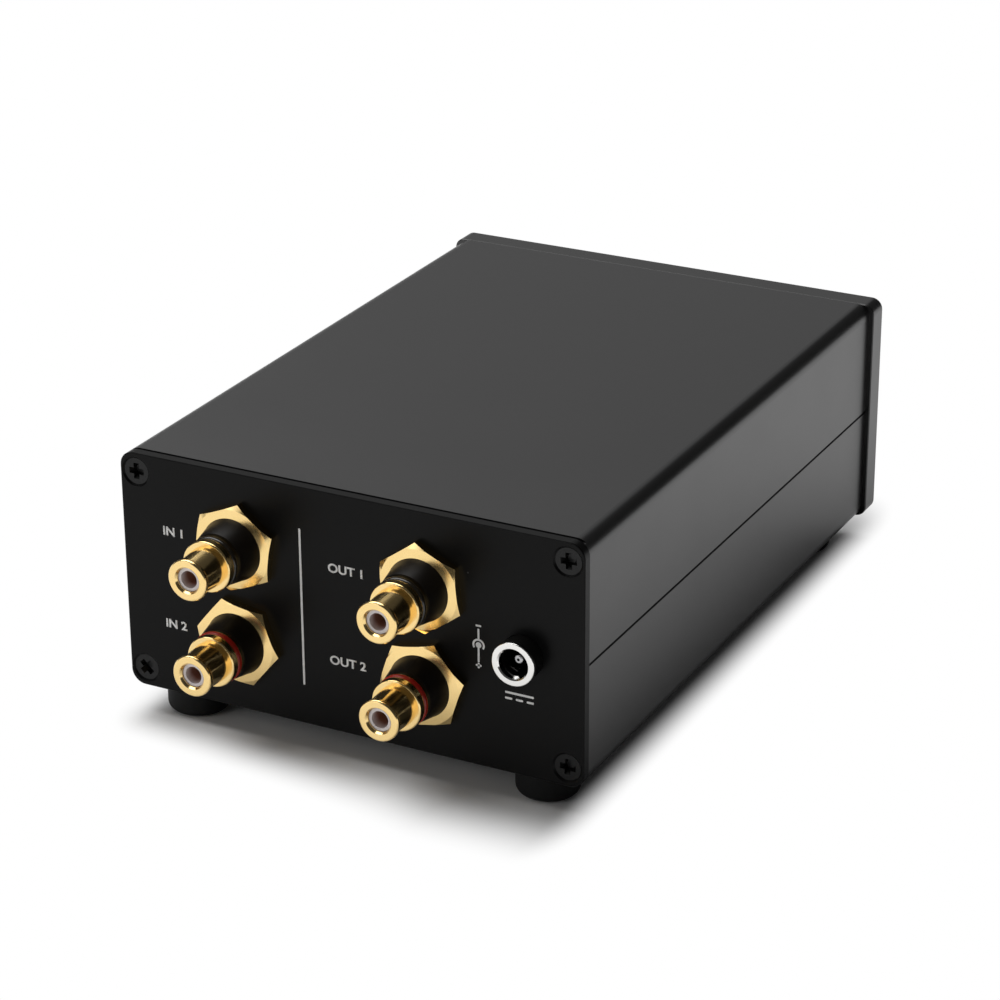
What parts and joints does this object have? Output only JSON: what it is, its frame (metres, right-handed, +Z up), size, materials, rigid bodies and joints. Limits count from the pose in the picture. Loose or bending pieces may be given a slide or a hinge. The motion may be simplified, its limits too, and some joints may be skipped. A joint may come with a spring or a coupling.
{
  "type": "audio preamplifier",
  "caption": "Compact box preamplifier in a black split aluminium case, with gold signal jacks and a power inlet at the rear, a volume knob and a push button at the front.",
  "frame": {"origin": "on the resting plane, under the middle of the whole object's box", "axes": "+Z up, +Y out of the rear panel with the jacks, -Y out of the front with the knob, X along the width"},
  "size_m": [0.1022, 0.1804, 0.056],
  "materials": {
    "black_anodised": "black anodised over a fine brushed grain",
    "black_screws": "black oxide, satin",
    "black_rubber": "matte rubber",
    "gold_plate": "polished pale gold plate",
    "gloss_black_plastic": "glossy moulded plastic",
    "red_plastic": "glossy moulded plastic",
    "white_plastic": "translucent white plastic",
    "nickel_plate": "bright nickel plate",
    "black_plastic": "matte moulded plastic",
    "satin_metal": "satin turned metal",
    "light_lens": "clear tinted lens",
    "board_green": "green solder mask",
    "resistor_body": "painted ceramic",
    "connector_green": "moulded plastic",
    "wire_insulation": "soft wire insulation"
  },
  "bodies": {
    "case": {"amplifier_chips": "black_plastic", "board_connectors": "connector_green", "bottom_shell": "black_anodised", "circuit_board": "board_green", "dc_socket_body": "gloss_black_plastic", "dc_socket_nut": "nickel_plate", "dc_socket_pin": "nickel_plate", "dc_socket_ring": "nickel_plate", "dc_socket_spring": "nickel_plate", "filter_capacitors": "black_plastic", "foot_screws": "black_screws", "front_left_foot": "black_rubber", "front_panel": "black_anodised", "front_panel_screws": "black_screws", "front_right_foot": "black_rubber", "hookup_wires": "wire_insulation", "jack_contacts": "gold_plate", "jack_rear_nuts": "gold_plate", "jack_solder_lugs": "gold_plate", "left_input_bush": "gloss_black_plastic", "left_input_insulator": "white_plastic", "left_input_nut": "gold_plate", "left_input_ring": "gloss_black_plastic", "left_input_shell": "gold_plate", "left_output_bush": "gloss_black_plastic", "left_output_insulator": "white_plastic", "left_output_nut": "gold_plate", "left_output_ring": "gloss_black_plastic", "left_output_shell": "gold_plate", "pot_body": "black_plastic", "pot_bush": "nickel_plate", "pot_nut": "nickel_plate", "pot_terminals": "nickel_plate", "power_light": "light_lens", "power_switch_body": "satin_metal", "rear_left_foot": "black_rubber", "rear_panel": "black_anodised", "rear_panel_screws": "black_screws", "rear_right_foot": "black_rubber", "resistors": "resistor_body", "right_input_bush": "gloss_black_plastic", "right_input_insulator": "white_plastic", "right_input_nut": "gold_plate", "right_input_ring": "red_plastic", "right_input_shell": "gold_plate", "right_output_bush": "gloss_black_plastic", "right_output_insulator": "white_plastic", "right_output_nut": "gold_plate", "right_output_ring": "red_plastic", "right_output_shell": "gold_plate", "switch_nut": "nickel_plate", "switch_terminals": "nickel_plate", "top_shell": "black_anodised", "voltage_regulator": "black_plastic"},
    "volume_knob": {"volume_knob": "black_anodised", "knob_set_screw": "black_screws", "pot_shaft": "nickel_plate"},
    "power_button": {"power_button": "satin_metal"}
  },
  "joints": [
    {"name": "volume_turn", "type": "hinge", "parent": "case", "child": "volume_knob", "pos_m": [0, -0.0734, 0.03115], "axis": [0, 1, 0], "range_deg": [-150, 150]},
    {"name": "power_press", "type": "slide", "parent": "case", "child": "power_button", "axis": [0, 1, 0], "range_m": [0, 0.0025], "stiffness_N_per_m": 200}
  ]
}
